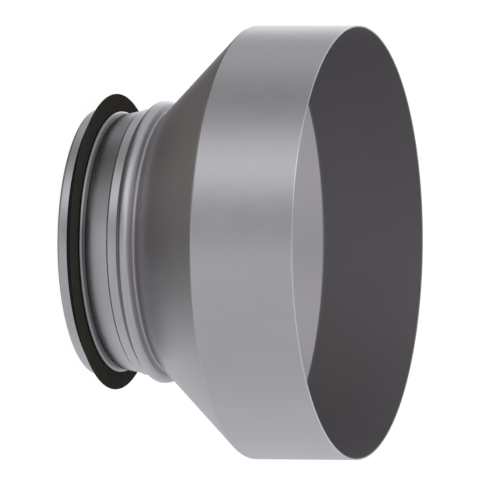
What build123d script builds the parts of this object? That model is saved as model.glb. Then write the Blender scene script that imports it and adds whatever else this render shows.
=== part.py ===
from build123d import *
from math import radians, tan
import os

# Duct reducer: a shell of bent steel sheet and a rubber lip seal, both round about Z.
# It stands on the hem of its narrow spigot, at Z = 0, with the wide mouth up. Sizes in millimetres.

# Steel sheet
SHEET_THICKNESS = 0.5

# Wide mouth that takes the larger duct, and the cone below it
MOUTH_BORE = 160.4
MOUTH_LENGTH = 39.35
CONE_HALF_ANGLE = 44.6
CONE_BEND_INSIDE = 0.8

# Narrow spigot that goes into the smaller duct, as far as the stop bead
SPIGOT_DIAMETER = 99.3
INSERTION_DEPTH = 23.2
BAND_LENGTH = 3.35

# Stop bead: a rolled ridge with a leaning stop face and a flat that breaks its back edge
BEAD_HEIGHT = 2.9
BEAD_WIDTH = 5.95
BEAD_STOP_RUN = 2.2
BEAD_BACK_FLAT = 1.4
BEAD_BACK_RUN = 0.6

# Neck: the valley between the bead and the cone, sunk below the spigot's surface
NECK_DEPTH = 0.9

# Step below the band, and the taper from there down to the seal's seat
STEP_DEPTH = 0.55
SEAT_DEPTH = 2.35

# Rolled rib that stops the seal, and the hem folded outward round the seal's foot
RIB_HEIGHT = 1.05
RIB_WIDTH = 2.05
HEM_LENGTH = 3.85
HEM_FLAT = 0.6

# Rubber lip seal
SEAL_WIDTH = 4.1
SEAL_CLEARANCE = 0.05
SEAL_FOOT_DEPTH = 2.0
LIP_HEIGHT = 5.45
LIP_SHOULDER = 0.25
LIP_EDGE = 0.3
LIP_LEAN = 0.7

# Radii of the sheet's middle line
half_sheet = SHEET_THICKNESS / 2
mouth_radius = MOUTH_BORE / 2 + half_sheet
spigot_radius = SPIGOT_DIAMETER / 2 - half_sheet
bead_radius = spigot_radius + BEAD_HEIGHT
neck_radius = spigot_radius - NECK_DEPTH
step_radius = spigot_radius - STEP_DEPTH
seat_radius = spigot_radius - SEAT_DEPTH
rib_radius = seat_radius + RIB_HEIGHT

# Levels of the sheet's middle line
seal_stop_level = HEM_LENGTH + SEAL_WIDTH
rib_low_level = seal_stop_level + half_sheet
rib_high_level = seal_stop_level + RIB_WIDTH - half_sheet
band_low_level = INSERTION_DEPTH - BAND_LENGTH
step_low_level = band_low_level - STEP_DEPTH
bead_low_level = INSERTION_DEPTH
bead_high_level = bead_low_level + BEAD_WIDTH
neck_level = bead_high_level + BEAD_BACK_RUN
cone_top_level = neck_level + (mouth_radius - neck_radius) / tan(radians(CONE_HALF_ANGLE))
mouth_level = cone_top_level + MOUTH_LENGTH

# Middle line, as points of radius and level: round the hem's fold, up the spigot and over the bead
hem = [
    (spigot_radius, HEM_LENGTH),
    (spigot_radius, half_sheet + HEM_FLAT),
    (spigot_radius - HEM_FLAT, half_sheet),
    (seat_radius + HEM_FLAT, half_sheet),
    (seat_radius, half_sheet + HEM_FLAT),
]
rib = [
    (seat_radius, rib_low_level),
    (rib_radius, rib_low_level),
    (rib_radius, rib_high_level),
    (seat_radius, rib_high_level),
]
band = [
    (step_radius, step_low_level),
    (spigot_radius, band_low_level),
]
bead = [
    (spigot_radius, bead_low_level),
    (bead_radius, bead_low_level + BEAD_STOP_RUN),
    (bead_radius, bead_high_level - BEAD_BACK_FLAT),
    (bead_radius - BEAD_BACK_FLAT, bead_high_level),
]
tight_folds = hem + rib + band + bead + [(neck_radius, neck_level)]
cone_top = (mouth_radius, cone_top_level)
mouth_edge = (mouth_radius, mouth_level)

# The cone turns into the mouth in a rolled bend. The tighter folds below it are drawn sharp.
bends = [0] * (len(tight_folds) - 1) + [CONE_BEND_INSIDE + half_sheet]

# Steel shell: the bent line thickened to the sheet and turned about the axis
with BuildPart() as reducer_body:
    with BuildSketch(Plane.XZ):
        with BuildLine():
            FilletPolyline(*tight_folds, cone_top, mouth_edge, radius=bends)
        trace(line_width=SHEET_THICKNESS)
    revolve(axis=Axis.Z)
reducer_body.part.label = "reducer_body"

# Room that the sheet leaves for the seal
seat_face = seat_radius + half_sheet
rib_face = rib_radius + half_sheet
hem_inner_face = spigot_radius - half_sheet
hem_outer_face = spigot_radius + half_sheet

foot_inner_radius = seat_face + SEAL_CLEARANCE
foot_outer_radius = hem_inner_face - SEAL_CLEARANCE
shoulder_radius = hem_outer_face + LIP_SHOULDER
lip_radius = hem_outer_face + LIP_HEIGHT
foot_low_level = HEM_LENGTH - SEAL_FOOT_DEPTH
shoulder_level = HEM_LENGTH + SEAL_CLEARANCE
seal_top_level = seal_stop_level - SEAL_CLEARANCE
lip_top_level = seal_top_level - LIP_LEAN

# Rubber seal: a foot inside the hem, a shoulder over the hem's cut edge and a lip that stands out
with BuildPart() as lip_seal:
    with BuildSketch(Plane.XZ):
        with BuildLine():
            Polyline(
                (foot_inner_radius, foot_low_level),
                (foot_outer_radius, foot_low_level),
                (foot_outer_radius, shoulder_level),
                (shoulder_radius, shoulder_level),
                (lip_radius, lip_top_level - LIP_EDGE),
                (lip_radius, lip_top_level),
                (rib_face, seal_top_level),
                (foot_inner_radius, seal_top_level),
                close=True,
            )
        make_face()
    revolve(axis=Axis.Z)
lip_seal.part.label = "lip_seal"

os.makedirs("parts", exist_ok=True)
export_step(reducer_body.part, "parts/reducer_body.step")
export_step(lip_seal.part, "parts/lip_seal.step")
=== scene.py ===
import logging
import math
from dataclasses import dataclass
from enum import Enum
from typing import Any, Sequence

import bmesh
import bpy
from mathutils import Matrix, Vector


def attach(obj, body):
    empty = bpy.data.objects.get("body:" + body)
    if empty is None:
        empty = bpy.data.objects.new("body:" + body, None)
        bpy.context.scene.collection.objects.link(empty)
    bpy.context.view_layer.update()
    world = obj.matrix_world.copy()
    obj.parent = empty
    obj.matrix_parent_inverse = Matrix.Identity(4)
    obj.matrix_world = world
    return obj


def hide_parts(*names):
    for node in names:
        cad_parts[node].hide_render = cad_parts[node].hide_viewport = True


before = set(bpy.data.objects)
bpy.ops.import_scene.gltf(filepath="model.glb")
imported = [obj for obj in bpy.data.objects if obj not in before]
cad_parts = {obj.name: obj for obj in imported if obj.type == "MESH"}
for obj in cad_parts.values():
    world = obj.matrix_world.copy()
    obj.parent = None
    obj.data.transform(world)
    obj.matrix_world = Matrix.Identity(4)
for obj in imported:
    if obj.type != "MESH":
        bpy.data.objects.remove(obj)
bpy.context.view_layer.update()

log = logging.getLogger("duct_reducer")

# Red, green and blue, and a low and a high number
Colour = tuple[float, float, float]
Span = tuple[float, float]

MM = 0.001
BODY = "root"

# The middle of a pattern that runs from 0 to 1
MIDDLE = 0.5

# How much wide faces count in the shading of the bends beside them, out of 100
WIDE_FACE_WEIGHT = 80


class Value:
    """A socket of a shader, so that sums on its number are written as plain Python."""

    def __init__(self, graph: "Graph", socket: bpy.types.NodeSocket | None) -> None:
        """Keeps the socket and the graph that new Math nodes go into."""
        self.graph = graph
        self.socket = socket

    def _math(self, operation: str, left: Any, right: Any) -> "Value":
        """Adds one Math node.

        Args:
            operation: the node's operation.
            left: its first number or value.
            right: its second number or value.

        Returns:
            The node's result.
        """
        return self.graph.node("ShaderNodeMath", {"operation": operation}, {0: left, 1: right})

    def __add__(self, other: Any) -> "Value":
        """Adds a number or value."""
        return self._math("ADD", self, other)

    def __radd__(self, other: Any) -> "Value":
        """Adds to a number."""
        return self._math("ADD", other, self)

    def __sub__(self, other: Any) -> "Value":
        """Takes a number or value away."""
        return self._math("SUBTRACT", self, other)

    def __rsub__(self, other: Any) -> "Value":
        """Is taken away from a number."""
        return self._math("SUBTRACT", other, self)

    def __mul__(self, other: Any) -> "Value":
        """Multiplies by a number or value."""
        return self._math("MULTIPLY", self, other)

    def __rmul__(self, other: Any) -> "Value":
        """Multiplies a number."""
        return self._math("MULTIPLY", other, self)

    def swing(self, amount: float) -> "Value":
        """Gives how far a pattern swings from its middle, times an amount."""
        return (self - MIDDLE) * amount


class Graph:
    """The nodes of one material, or of the world."""

    # A Mix node has sockets for numbers and vectors too: these are the places of those for colours
    MIX_FACTOR = 0
    MIX_FIRST = 6
    MIX_SECOND = 7
    MIX_RESULT = 2

    def __init__(self, tree: bpy.types.NodeTree) -> None:
        """Empties the tree and keeps it."""
        self.tree = tree
        tree.nodes.clear()

    def node(
        self,
        kind: str,
        settings: dict[str, Any] | None = None,
        inputs: dict[Any, Any] | None = None,
        out: Any = 0,
    ) -> Value:
        """Adds a node of any type.

        Args:
            kind: the node's type.
            settings: its own settings, which are set first.
            inputs: a number, colour or link for each socket, by the socket's name or place.
            out: the name or place of the socket that is handed back.

        Returns:
            The node's output socket, as a value. A closing node has none, and its value is empty.
        """
        node = self.tree.nodes.new(kind)
        for name, setting in (settings or {}).items():
            setattr(node, name, setting)
        for name, given in (inputs or {}).items():
            if isinstance(given, Value):
                self.tree.links.new(given.socket, node.inputs[name])
            else:
                node.inputs[name].default_value = given
        return Value(self, node.outputs[out] if len(node.outputs) else None)

    def object_place(self) -> Value:
        """Gives a point's place on the piece, in metres."""
        return self.node("ShaderNodeTexCoord", out="Object")

    def height(self, vector: Value) -> Value:
        """Gives the upright part of a place or a direction."""
        return self.node("ShaderNodeSeparateXYZ", None, {"Vector": vector}, out="Z")

    def noise(self, place: Value, grain: float, detail: float = 2.0) -> Value:
        """Adds a cloudy pattern.

        Args:
            place: where the pattern is read.
            grain: the size of its patches, in metres.
            detail: how many finer layers it has.

        Returns:
            The pattern, about 0.5 on average.
        """
        inputs = {"Vector": place, "Scale": 1 / grain, "Detail": detail}
        return self.node("ShaderNodeTexNoise", {"noise_dimensions": "3D"}, inputs)

    def stretched(self, place: Value, scale: tuple[float, float, float]) -> Value:
        """Gives the place with each axis scaled by its own amount."""
        return self.node("ShaderNodeMapping", {"vector_type": "POINT"}, {"Vector": place, "Scale": scale})

    def blend(self, factor: Any, first: Any, second: Any) -> Value:
        """Mixes two colours.

        Args:
            factor: 0 for the first colour, 1 for the second.
            first: red, green and blue, or a colour value.
            second: red, green and blue, or a colour value.

        Returns:
            The mixed colour.
        """
        settings = {"data_type": "RGBA", "blend_type": "MIX", "clamp_result": False}
        inputs = {self.MIX_FACTOR: factor}
        for socket, given in ((self.MIX_FIRST, first), (self.MIX_SECOND, second)):
            inputs[socket] = given if isinstance(given, Value) else (*given, 1.0)
        return self.node("ShaderNodeMix", settings, inputs, out=self.MIX_RESULT)

    def rise(self, value: Value, low: float, high: float) -> Value:
        """Goes smoothly from 0 at the low value to 1 at the high one."""
        limits = {"Value": value, "From Min": low, "From Max": high}
        return self.node("ShaderNodeMapRange", {"interpolation_type": "SMOOTHSTEP"}, limits)

    def bump(self, height: Value, strength: float, distance: float) -> Value:
        """Turns a height pattern into a surface direction.

        Args:
            height: the pattern, 0 to 1.
            strength: how much of it shows.
            distance: the height of a full step, in metres.

        Returns:
            The bumped normal.
        """
        inputs = {"Strength": strength, "Distance": distance, "Height": height}
        return self.node("ShaderNodeBump", None, inputs)

    def close(self, inputs: dict[str, Any]) -> None:
        """Ends a material with its shader.

        Args:
            inputs: a number, colour or link for each of the shader's sockets.
        """
        shader = self.node("ShaderNodeBsdfPrincipled", None, inputs)
        self.node("ShaderNodeOutputMaterial", None, {"Surface": shader})


def new_material(name: str) -> tuple[bpy.types.Material, Graph]:
    """Starts a material.

    Args:
        name: the material's name.

    Returns:
        The material and its empty graph.
    """
    made = bpy.data.materials.new(name)
    made.use_nodes = True
    return made, Graph(made.node_tree)


@dataclass(frozen=True)
class Ring:
    """A ring of the sheet, smoother than the rest, whose colour is painted shade on some rings and a painted
    highlight on others.

    The look is full within its reach of the level, and gone at the fade, all in metres.
    """

    level: float
    reach: float
    fade: float
    # The ring's colour: painted shade on the rib, a painted highlight in the neck and on the cut edge
    zinc: Colour
    polish: float

    def outside(self, graph: Graph, height: Value) -> Value:
        """Tells how far outside the ring a point lies.

        Args:
            graph: the material's nodes.
            height: the point's height.

        Returns:
            0 in the ring, 1 away from it.
        """
        away = graph.node("ShaderNodeMath", {"operation": "ABSOLUTE"}, {0: height - self.level})
        return graph.rise(away, self.reach, self.fade)


@dataclass(frozen=True)
class GalvanisedSteel:
    """Satin zinc on thin sheet, with a faint spangle, soft clouding and a fine rolled grain.

    The zinc inside the mouth is rougher, and its colour is painted shade that darkens towards the mouth's
    edge.
    A few rings are smoother; their colour is painted shade on the rib and a painted highlight in the neck
    and on the mouth's cut edge.
    """

    # Zinc outside, and inside the mouth painted darker as shade, from the wall's foot to its edge
    dull_zinc: Colour = (0.437, 0.420, 0.440)
    clear_zinc: Colour = (0.467, 0.450, 0.468)
    inner_foot_shaded_zinc: Colour = (0.312, 0.290, 0.304)
    inner_edge_shaded_zinc: Colour = (0.242, 0.225, 0.236)

    # Roughness outside and inside the mouth
    polish: float = 0.36
    inner_polish: float = 0.64

    # Sizes of the patterns, in metres. The grain is drawn out across the sheet.
    spangle_size: float = 0.007
    cloud_size: float = 0.045
    grain_size: float = 0.0012
    grain_stretch: tuple[float, float, float] = (0.05, 0.05, 1.0)
    pattern_layers: float = 3.0

    # How much the patterns show in the colour, in the roughness and in the surface
    spangle_tone: float = 0.3
    cloud_tone: float = 0.6
    inner_shade_tone: float = 0.2
    spangle_polish: float = 0.02
    cloud_polish: float = 0.03
    grain_polish: float = 0.03
    grain_bump: float = 0.02
    grain_depth: float = 0.00001

    # Inner face of the mouth's wall, in metres: the radii between its two faces, the heights at its foot,
    # and the heights over which its painted shade grows darker
    mouth_wall: Span = (0.08025, 0.08065)
    mouth_foot: Span = (0.0620, 0.0635)
    mouth_shade_fade: Span = (0.0560, 0.1080)

    # Rings: behind the rib, smoother zinc; on the rib, painted shade; in the neck and on the mouth's cut
    # edge, painted highlights
    groove: Ring = Ring(0.0102, 0.0016, 0.0046, zinc=(0.440, 0.424, 0.443), polish=0.26)
    # Painted shade: darker zinc on the rib beside the seal
    rib: Ring = Ring(0.0089, 0.0012, 0.0022, zinc=(0.275, 0.266, 0.274), polish=0.20)
    # Painted highlight: brighter zinc along the neck's valley
    neck: Ring = Ring(0.0297, 0.0001, 0.0006, zinc=(0.548, 0.529, 0.548), polish=0.28)
    # Painted highlight: much paler zinc on the mouth's cut edge
    cut_edge_highlight: Ring = Ring(0.1015, 0.0001, 0.0004, zinc=(0.690, 0.666, 0.690), polish=0.30)

    def _spangle(self, graph: Graph, place: Value) -> Value:
        """Adds the crystals of the zinc.

        Args:
            graph: the material's nodes.
            place: the point.

        Returns:
            A number for each crystal, 0 to 1.
        """
        crystals = graph.node(
            "ShaderNodeTexVoronoi",
            {"voronoi_dimensions": "3D", "feature": "F1"},
            {"Vector": place, "Scale": 1 / self.spangle_size},
            out="Color",
        )
        return graph.node("ShaderNodeSeparateColor", None, {"Color": crystals})

    def _in_mouth(self, graph: Graph, place: Value, height: Value) -> Value:
        """Tells whether a point lies on the inner face of the mouth's wall.

        Args:
            graph: the material's nodes.
            place: the point.
            height: the point's height.

        Returns:
            1 on the inner face, 0 elsewhere.
        """
        flat = graph.stretched(place, (1.0, 1.0, 0.0))
        radius = graph.node("ShaderNodeVectorMath", {"operation": "LENGTH"}, {0: flat}, out="Value")
        return graph.rise(height, *self.mouth_foot) * (1 - graph.rise(radius, *self.mouth_wall))

    def material(self) -> bpy.types.Material:
        """Makes the material, with its nodes.

        Returns:
            The material.
        """
        made, graph = new_material("galvanised_steel")
        place = graph.object_place()
        height = graph.height(place)
        spangle = self._spangle(graph, place)
        cloud = graph.noise(place, self.cloud_size, self.pattern_layers)
        drawn_out = graph.stretched(place, self.grain_stretch)
        grain = graph.noise(drawn_out, self.grain_size, self.pattern_layers)

        tone = MIDDLE + spangle.swing(self.spangle_tone) + cloud.swing(self.cloud_tone)
        outer_zinc = graph.blend(tone, self.dull_zinc, self.clear_zinc)
        # Painted shade inside the mouth: darker towards its edge, varied by the zinc's tone
        inner_shade = graph.rise(height, *self.mouth_shade_fade) + tone.swing(-self.inner_shade_tone)
        inner_shaded_zinc = graph.blend(inner_shade, self.inner_foot_shaded_zinc, self.inner_edge_shaded_zinc)

        inside = self._in_mouth(graph, place, height)
        # The inner face of the mouth's wall gets the painted shade
        colour = graph.blend(inside, outer_zinc, inner_shaded_zinc)
        roughness = self.polish + inside * (self.inner_polish - self.polish)
        # The rings paint shade on the rib and highlights in the neck and on the cut edge
        for ring in (self.groove, self.rib, self.neck, self.cut_edge_highlight):
            outside = ring.outside(graph, height)
            colour = graph.blend(outside, ring.zinc, colour)
            roughness = ring.polish + outside * (roughness - ring.polish)
        roughness = roughness + spangle.swing(self.spangle_polish) + cloud.swing(self.cloud_polish)
        roughness = roughness + grain.swing(self.grain_polish)

        normal = graph.bump(grain, self.grain_bump, self.grain_depth)
        graph.close({"Base Color": colour, "Metallic": 1.0, "Roughness": roughness, "Normal": normal})
        return made


@dataclass(frozen=True)
class SealRubber:
    """Moulded black rubber: matte, a little warm, with a fine grain, and dust and painted light that make
    what faces up lighter.
    """

    deep_black: Colour = (0.0130, 0.0117, 0.0101)
    # Dust and painted light: the lighter black of faces that point up
    dusted_and_lit_black: Colour = (0.0530, 0.0479, 0.0412)
    dullness: float = 0.62

    # Sizes of the patterns, in metres
    dust_size: float = 0.009
    dust_layers: float = 4.0
    grain_size: float = 0.0005

    # How far up a face points, from where it gets no dust and no painted light to where it gets all of them,
    # and how thick the dust lies
    dust_and_painted_light_slope: Span = (-0.2, 0.7)
    dust_least: float = 0.7
    dust_spread: float = 0.5

    # How much the patterns show in the roughness and in the surface
    dust_polish: float = 0.15
    grain_polish: float = 0.1
    grain_bump: float = 0.25
    grain_depth: float = 0.00006

    def material(self) -> bpy.types.Material:
        """Makes the material, with its nodes.

        Returns:
            The material.
        """
        made, graph = new_material("seal_rubber")
        place = graph.object_place()
        dust = graph.noise(place, self.dust_size, self.dust_layers)
        grain = graph.noise(place, self.grain_size)
        up = graph.height(graph.node("ShaderNodeTexCoord", out="Normal"))
        # Dust, and painted light that makes the faces that point up lighter
        dust_and_painted_light = graph.rise(up, *self.dust_and_painted_light_slope) * (self.dust_least + dust * self.dust_spread)
        roughness = self.dullness + dust.swing(self.dust_polish) + grain.swing(self.grain_polish)
        graph.close(
            {
                "Base Color": graph.blend(dust_and_painted_light, self.deep_black, self.dusted_and_lit_black),
                "Roughness": roughness,
                "Specular IOR Level": 0.0,
                "Normal": graph.bump(grain, self.grain_bump, self.grain_depth),
            }
        )
        return made


class Tint(Enum):
    """The tint of a part of the studio."""

    COOL = (0.974, 1.0, 1.025)
    PLAIN = (1.0, 1.0, 1.0)
    WARM = (1.057, 1.0, 0.938)

    def at(self, level: float) -> Colour:
        """Gives the tint at a level of brightness."""
        red, green, blue = self.value
        return red * level, green * level, blue * level


@dataclass(frozen=True)
class StudioWhite:
    """Pale floor that glows a little, so that only a faint shadow is left on it."""

    paint: float = 0.2
    pale_patch: float = 1.04
    patch_size: float = 0.15
    dullness: float = 0.9
    glow: float = 0.93

    def material(self) -> bpy.types.Material:
        """Makes the material, with its nodes.

        Returns:
            The material.
        """
        made, graph = new_material("studio_white")
        patches = graph.noise(graph.object_place(), self.patch_size)
        pale = self.paint * self.pale_patch
        graph.close(
            {
                "Base Color": graph.blend(patches, Tint.PLAIN.at(self.paint), Tint.PLAIN.at(pale)),
                "Roughness": self.dullness,
                "Specular IOR Level": 0.0,
                "Emission Color": (1.0, 1.0, 1.0, 1.0),
                "Emission Strength": self.glow,
            }
        )
        return made


class Slot(Enum):
    """The record's material slots."""

    STEEL = "galvanised_steel"
    RUBBER = "seal_rubber"


@dataclass(frozen=True)
class Corner:
    """A corner of a turned outline, in millimetres, and the bend that rounds it."""

    radius: float
    level: float
    bend: float = 0.0

    def point(self) -> Vector:
        """Gives the corner in the XZ plane, in metres."""
        return Vector((self.radius * MM, 0.0, self.level * MM))


class Turning:
    """A surface turned about the axis from a line of corners.

    It has this many flats round the axis, and points within the tolerance, in metres, are the same.
    """

    STEPS = 192
    TOLERANCE = 2e-6

    def __init__(self, corners: Sequence[Corner], closed: bool) -> None:
        """Keeps the corners, and whether the line closes on itself."""
        self.corners = list(corners)
        self.closed = closed

    def mesh(self, name: str, bend_segments: int) -> bpy.types.Mesh:
        """Spins the line into a mesh and rounds its corners.

        Args:
            name: the mesh's name.
            bend_segments: flats along each bend.

        Returns:
            The mesh, with smooth faces that point outwards.
        """
        shape = bmesh.new()
        points = [shape.verts.new(corner.point()) for corner in self.corners]
        ends = points[1:] + (points[:1] if self.closed else [])
        lines = [shape.edges.new(pair) for pair in zip(points, ends)]
        bmesh.ops.spin(
            shape,
            geom=points + lines,
            cent=(0, 0, 0),
            axis=(0, 0, 1),
            angle=2 * math.pi,
            steps=self.STEPS,
            use_merge=True,
        )
        bmesh.ops.remove_doubles(shape, verts=shape.verts, dist=self.TOLERANCE)
        for place, corner in enumerate(self.corners):
            if corner.bend > 0:
                self._round(shape, place, bend_segments)
        bmesh.ops.recalc_face_normals(shape, faces=shape.faces)
        for face in shape.faces:
            face.smooth = True
        mesh = bpy.data.meshes.new(name)
        shape.to_mesh(mesh)
        shape.free()
        return mesh

    def _round(self, shape: bmesh.types.BMesh, place: int, segments: int) -> None:
        """Rounds the ring that one corner has become.

        Args:
            shape: the spun shape.
            place: the corner's place in the line.
            segments: flats along the bend.
        """
        corner = self.corners[place]
        before = self.corners[place - 1].point()
        after = self.corners[(place + 1) % len(self.corners)].point()
        turn = (corner.point() - before).angle(after - corner.point())
        ring = [edge for edge in shape.edges if all(self._on(vert, corner) for vert in edge.verts)]
        bmesh.ops.bevel(
            shape,
            geom=ring,
            offset=corner.bend * MM * math.tan(turn / 2),
            offset_type="OFFSET",
            segments=segments,
            profile=0.5,
            affect="EDGES",
            clamp_overlap=False,
            material=-1,
        )

    def _on(self, vert: bmesh.types.BMVert, corner: Corner) -> bool:
        """Tells whether a point lies on the ring that a corner has become.

        Args:
            vert: the point.
            corner: the corner.

        Returns:
            Whether its radius and level are the corner's.
        """
        off_level = abs(vert.co.z - corner.level * MM)
        off_radius = abs(math.hypot(vert.co.x, vert.co.y) - corner.radius * MM)
        return off_level < self.TOLERANCE and off_radius < self.TOLERANCE


def add_piece(name: str, mesh: bpy.types.Mesh) -> bpy.types.Object:
    """Puts a mesh into the scene as an object at the origin.

    Args:
        name: the object's name.
        mesh: its mesh.

    Returns:
        The object.
    """
    made = bpy.data.objects.new(name, mesh)
    bpy.context.scene.collection.objects.link(made)
    return made


def even_shading(piece: bpy.types.Object, crease: float) -> None:
    """Keeps wide faces evenly shaded beside their bends.

    Args:
        piece: the piece.
        crease: the angle, in degrees, from which an edge stays sharp.
    """
    piece.data.set_sharp_from_angle(angle=math.radians(crease))
    normals = piece.modifiers.new("even_shading", "WEIGHTED_NORMAL")
    normals.keep_sharp = True
    normals.weight = WIDE_FACE_WEIGHT


@dataclass
class SheetShell:
    """The steel shell: mouth wall, cone, stop bead, spigot, rib and folded hem, in one bent sheet.

    Sizes are in millimetres and angles in degrees. A bend is the radius of the sheet's middle line.
    """

    sheet: float = 0.5

    # Wide mouth and the cone below it
    mouth_bore: float = 160.4
    mouth_length: float = 39.35
    cone_half_angle: float = 44.6
    cone_bend: float = 1.05

    # Narrow spigot, up to its stop bead
    spigot_diameter: float = 99.3
    insertion_depth: float = 23.2
    band_length: float = 3.35

    # Stop bead, and the neck between it and the cone
    bead_height: float = 2.9
    bead_width: float = 5.95
    bead_stop_run: float = 2.2
    bead_back_run: float = 0.6
    bead_foot_bend: float = 0.4
    bead_front_bend: float = 1.5
    bead_back_bend: float = 2.3
    neck_depth: float = 0.9
    neck_bend: float = 0.8

    # Step below the band, and the seal's seat
    step_depth: float = 0.55
    step_bend: float = 0.4
    seat_depth: float = 2.35

    # Rolled rib that stops the seal, and the hem folded round the seal's foot
    seal_stop: float = 7.95
    rib_height: float = 1.32
    rib_width: float = 1.85
    rib_front_bend: float = 0.3
    rib_back_bend: float = 0.8
    rib_foot_bend: float = 0.3
    hem_length: float = 3.85
    hem_bend: float = 0.9

    # Flats along each bend, and the angle from which an edge stays sharp
    bend_segments: int = 5
    crease: float = 40.0

    def middle_line(self) -> list[Corner]:
        """Works out the middle line of the sheet.

        Returns:
            Its corners, from the hem's cut edge to the mouth's.
        """
        half = self.sheet / 2
        mouth = self.mouth_bore / 2 + half
        spigot = self.spigot_diameter / 2 - half
        bead = spigot + self.bead_height
        neck = spigot - self.neck_depth
        seat = spigot - self.seat_depth
        rib = seat + self.rib_height
        rib_low = self.seal_stop + half
        rib_high = self.seal_stop + self.rib_width - half
        band_low = self.insertion_depth - self.band_length
        bead_low = self.insertion_depth
        bead_high = bead_low + self.bead_width
        slope = math.tan(math.radians(self.cone_half_angle))
        cone_top = bead_high + self.bead_back_run + (mouth - neck) / slope
        valley = neck - self.bead_back_run * slope
        return [
            Corner(spigot, self.hem_length),
            Corner(spigot, half, self.hem_bend),
            Corner(seat, half, self.hem_bend),
            Corner(seat, rib_low, self.rib_foot_bend),
            Corner(rib, rib_low, self.rib_front_bend),
            Corner(rib, rib_high, self.rib_back_bend),
            Corner(seat, rib_high, self.rib_foot_bend),
            Corner(spigot - self.step_depth, band_low - self.step_depth, self.step_bend),
            Corner(spigot, band_low, self.step_bend),
            Corner(spigot, bead_low, self.bead_foot_bend),
            Corner(bead, bead_low + self.bead_stop_run, self.bead_front_bend),
            Corner(bead, bead_high, self.bead_back_bend),
            Corner(valley, bead_high, self.neck_bend),
            Corner(mouth, cone_top, self.cone_bend),
            Corner(mouth, cone_top + self.mouth_length),
        ]

    def build(self) -> bpy.types.Object:
        """Spins the middle line, thickens it to the sheet and puts it in the CAD shell's place.

        Returns:
            The shell.
        """
        turning = Turning(self.middle_line(), closed=False)
        piece = add_piece("shell", turning.mesh("shell", self.bend_segments))
        wall = piece.modifiers.new("sheet", "SOLIDIFY")
        wall.thickness = self.sheet * MM
        wall.offset = 0.0
        wall.use_even_offset = True
        wall.use_quality_normals = True
        made = piece.evaluated_get(bpy.context.evaluated_depsgraph_get())
        piece.data = bpy.data.meshes.new_from_object(made)
        piece.modifiers.clear()
        even_shading(piece, self.crease)
        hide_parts("reducer_body")
        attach(piece, BODY)
        return piece

    def dress(self, piece: bpy.types.Object, finish: GalvanisedSteel) -> None:
        """Gives the shell its finish."""
        piece.data.materials.append(finish.material())


@dataclass
class LipSeal:
    """The rubber ring: a foot in the hem's fold, and a lip that stands out from the spigot.

    Radii and levels are in millimetres.
    """

    # Foot inside the hem, and the shoulder over the hem's cut edge
    foot_inner: float = 47.35
    foot_outer: float = 49.1
    foot_low: float = 1.85
    shoulder: float = 49.9
    shoulder_level: float = 3.9

    # Lip, and the back that lies against the rib
    lip: float = 55.1
    lip_edge: float = 0.3
    lip_top: float = 7.2
    back: float = 48.35
    back_level: float = 7.9

    # Rounded edges
    lip_round: float = 0.12
    foot_round: float = 0.2
    slight_round: float = 0.1

    # Flats along each rounded edge, and the angle from which an edge stays sharp
    bend_segments: int = 4
    crease: float = 50.0

    def outline(self) -> list[Corner]:
        """Works out the ring's cut face.

        Returns:
            Its corners, from the foot's inner edge outwards.
        """
        return [
            Corner(self.foot_inner, self.foot_low, self.foot_round),
            Corner(self.foot_outer, self.foot_low, self.foot_round),
            Corner(self.foot_outer, self.shoulder_level),
            Corner(self.shoulder, self.shoulder_level, self.slight_round),
            Corner(self.lip, self.lip_top - self.lip_edge, self.lip_round),
            Corner(self.lip, self.lip_top, self.lip_round),
            Corner(self.back, self.back_level),
            Corner(self.foot_inner, self.back_level, self.slight_round),
        ]

    def build(self) -> bpy.types.Object:
        """Spins the outline and puts the ring in the CAD seal's place.

        Returns:
            The ring.
        """
        turning = Turning(self.outline(), closed=True)
        piece = add_piece("seal", turning.mesh("seal", self.bend_segments))
        even_shading(piece, self.crease)
        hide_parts("lip_seal")
        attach(piece, BODY)
        return piece

    def dress(self, piece: bpy.types.Object, finish: SealRubber) -> None:
        """Gives the ring its finish."""
        piece.data.materials.append(finish.material())


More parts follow.
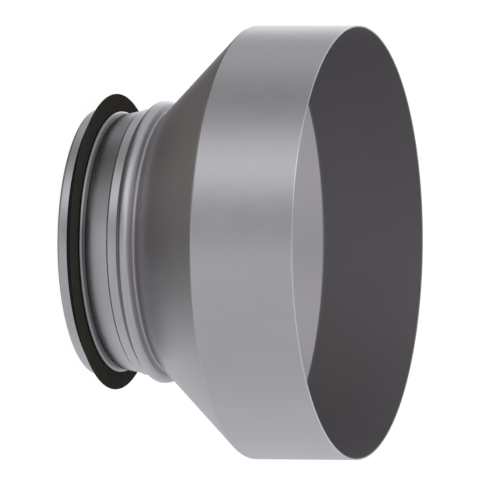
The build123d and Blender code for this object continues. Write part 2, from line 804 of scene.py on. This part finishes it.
@dataclass
class PictureView:
    """The camera: a long lens that looks down on the standing reducer, with the picture turned on its side.

    Angles are in degrees, the lens and sensor in millimetres, and everything else in metres.
    """

    elevation: float = 17.879
    roll: float = 0.298
    aside: float = 0.004443
    above: float = 0.000814
    distance: float = 7.94
    aim: tuple[float, float, float] = (0.0, 0.0, 0.05075)
    lens: float = 1600.0
    sensor: float = 36.0
    nearest: float = 1.0
    farthest: float = 30.0

    def axes(self) -> tuple[Vector, Vector, Vector]:
        """Works out how the picture lies in the scene.

        Returns:
            The picture's right, its up, and the way from the object to the camera.
        """
        tilt, turn = math.radians(self.elevation), math.radians(self.roll)
        level_right = Vector((0.0, math.sin(tilt), math.cos(tilt)))
        level_up = Vector((-1.0, 0.0, 0.0))
        toward = Vector((0.0, -math.cos(tilt), math.sin(tilt)))
        right = level_right * math.cos(turn) + level_up * math.sin(turn)
        up = level_up * math.cos(turn) - level_right * math.sin(turn)
        return right, up, toward

    def direction(self, right: float, up: float, toward: float) -> Vector:
        """Turns a direction in the picture into one in the scene.

        Args:
            right: how far it points to the picture's right.
            up: how far it points up the picture.
            toward: how far it points out of the picture.

        Returns:
            The direction, of length 1.
        """
        axes = self.axes()
        return (axes[0] * right + axes[1] * up + axes[2] * toward).normalized()

    def build(self) -> bpy.types.Object:
        """Makes the camera and gives it to the scene.

        Returns:
            The camera.
        """
        lens = bpy.data.cameras.new("picture_view")
        lens.lens = self.lens
        lens.sensor_width = self.sensor
        lens.clip_start = self.nearest
        lens.clip_end = self.farthest
        camera = bpy.data.objects.new("picture_view", lens)
        right, up, toward = self.axes()
        place = Vector(self.aim) + right * self.aside + up * self.above + toward * self.distance
        turned = Matrix((right, up, toward)).transposed()
        camera.matrix_world = Matrix.Translation(place) @ turned.to_4x4()
        bpy.context.scene.collection.objects.link(camera)
        bpy.context.scene.camera = camera
        return camera


@dataclass(frozen=True)
class Panel:
    """A soft patch of the studio's walls.

    Its place is a direction in the picture: right, up and toward the camera. It is even within the core and
    gone past the edge, both in degrees from its middle.
    """

    right: float
    up: float
    toward: float
    level: float
    core: float
    edge: float
    tint: Tint = Tint.COOL

    def mask(self, graph: Graph, looking: Value, view: PictureView) -> Value:
        """Tells how much of the panel shows in a direction.

        Args:
            graph: the world's nodes.
            looking: the direction.
            view: the camera whose picture places the panel.

        Returns:
            1 in the core, 0 past the edge.
        """
        middle = view.direction(self.right, self.up, self.toward)
        settings = {"operation": "DOT_PRODUCT"}
        facing = graph.node("ShaderNodeVectorMath", settings, {0: looking, 1: middle}, out="Value")
        return graph.rise(facing, math.cos(math.radians(self.edge)), math.cos(math.radians(self.core)))


@dataclass
class Studio:
    """The light: a grey room with soft pale and dark panels, and a pale floor."""

    view: PictureView
    room_level: float = 0.773
    backdrop_level: float = 1.0
    floor_side: float = 6.0
    floor_squares: int = 8
    panels: tuple[Panel, ...] = (
        # Pale panels that the inside of the cone mirrors
        Panel(0.62, 0.52, 0.59, 0.867, 10.0, 32.0, Tint.PLAIN),
        Panel(0.62, -0.52, 0.59, 0.867, 10.0, 32.0, Tint.PLAIN),
        # Dark panels that keep the mouth's inner wall and the middle of the cone's inside down
        Panel(0.97, 0.0, -0.25, 0.10, 20.0, 42.0, Tint.PLAIN),
        Panel(0.50, 0.0, 0.87, 0.50, 8.0, 26.0, Tint.PLAIN),
        # Dark warm panel over the outside of the cone
        Panel(-0.63, 0.31, -0.72, 0.173, 26.0, 41.0, Tint.WARM),
        # Main light, and the dark panel above it that ends its highlight on the mouth's wall
        Panel(-0.41, 0.50, 0.77, 1.453, 11.0, 48.0),
        Panel(-0.73, 0.69, -0.08, 0.10, 22.0, 36.0, Tint.WARM),
        # Pale panel under the cone
        Panel(-0.32, -0.72, -0.62, 0.913, 20.0, 45.0),
        # Dark warm panels beside the spigot, for its taper, its bead and its hem
        Panel(-0.88, 0.40, -0.27, 0.453, 12.0, 27.0, Tint.WARM),
        Panel(-0.84, 0.45, 0.30, 0.267, 6.0, 22.0, Tint.WARM),
        Panel(-0.995, 0.0, -0.10, 0.233, 5.0, 18.0, Tint.WARM),
        # Light from behind, for the upper edge
        Panel(0.20, 0.30, -0.93, 1.80, 2.0, 26.0),
        # Pale panel by the camera for the rib and the bead, and a dim one for the middle of the mouth's wall
        Panel(-0.10, 0.0, 0.99, 0.96, 4.0, 18.0),
        Panel(-0.57, 0.20, 0.79, 0.353, 3.0, 22.0),
    )

    def build_light(self) -> None:
        """Paints the room's light onto the world, behind a backdrop that only the camera sees."""
        world = bpy.data.worlds.new("studio_room")
        bpy.context.scene.world = world
        world.use_nodes = True
        graph = Graph(world.node_tree)
        looking = graph.node("ShaderNodeTexCoord", out="Generated")
        shade: Any = Tint.COOL.at(self.room_level)
        for panel in self.panels:
            mask = panel.mask(graph, looking, self.view)
            shade = graph.blend(mask, shade, panel.tint.at(panel.level))
        seen = graph.node("ShaderNodeLightPath", out="Is Camera Ray")
        shade = graph.blend(seen, shade, Tint.PLAIN.at(self.backdrop_level))
        light = graph.node("ShaderNodeBackground", None, {"Color": shade})
        graph.node("ShaderNodeOutputWorld", None, {"Surface": light})

    def build_floor(self, finish: StudioWhite) -> bpy.types.Object:
        """Lays the floor that the reducer stands on.

        Args:
            finish: the floor's paint.

        Returns:
            The floor.
        """
        shape = bmesh.new()
        squares = self.floor_squares
        bmesh.ops.create_grid(shape, x_segments=squares, y_segments=squares, size=self.floor_side / 2)
        mesh = bpy.data.meshes.new("floor")
        shape.to_mesh(mesh)
        shape.free()
        floor = add_piece("floor", mesh)
        mesh.materials.append(finish.material())
        floor.visible_glossy = False
        return floor


def set_colours() -> None:
    """Shows colours as they are, with no film look."""
    shown = bpy.context.scene.view_settings
    shown.view_transform = "Standard"
    shown.look = "None"


def main() -> None:
    """Builds the reducer's pieces, then the studio round them."""
    logging.basicConfig(level=logging.INFO, format="%(name)s: %(message)s")
    shell = SheetShell()
    shell_piece = shell.build()
    shell.dress(shell_piece, GalvanisedSteel())
    log.info("%s: %d faces", shell_piece.name, len(shell_piece.data.polygons))
    seal = LipSeal()
    seal_piece = seal.build()
    seal.dress(seal_piece, SealRubber())
    log.info("%s: %d faces", seal_piece.name, len(seal_piece.data.polygons))
    view = PictureView()
    log.info("%s", view.build().name)
    studio = Studio(view)
    studio.build_light()
    log.info("%s", studio.build_floor(StudioWhite()).name)
    set_colours()


if __name__ == "__main__":
    main()
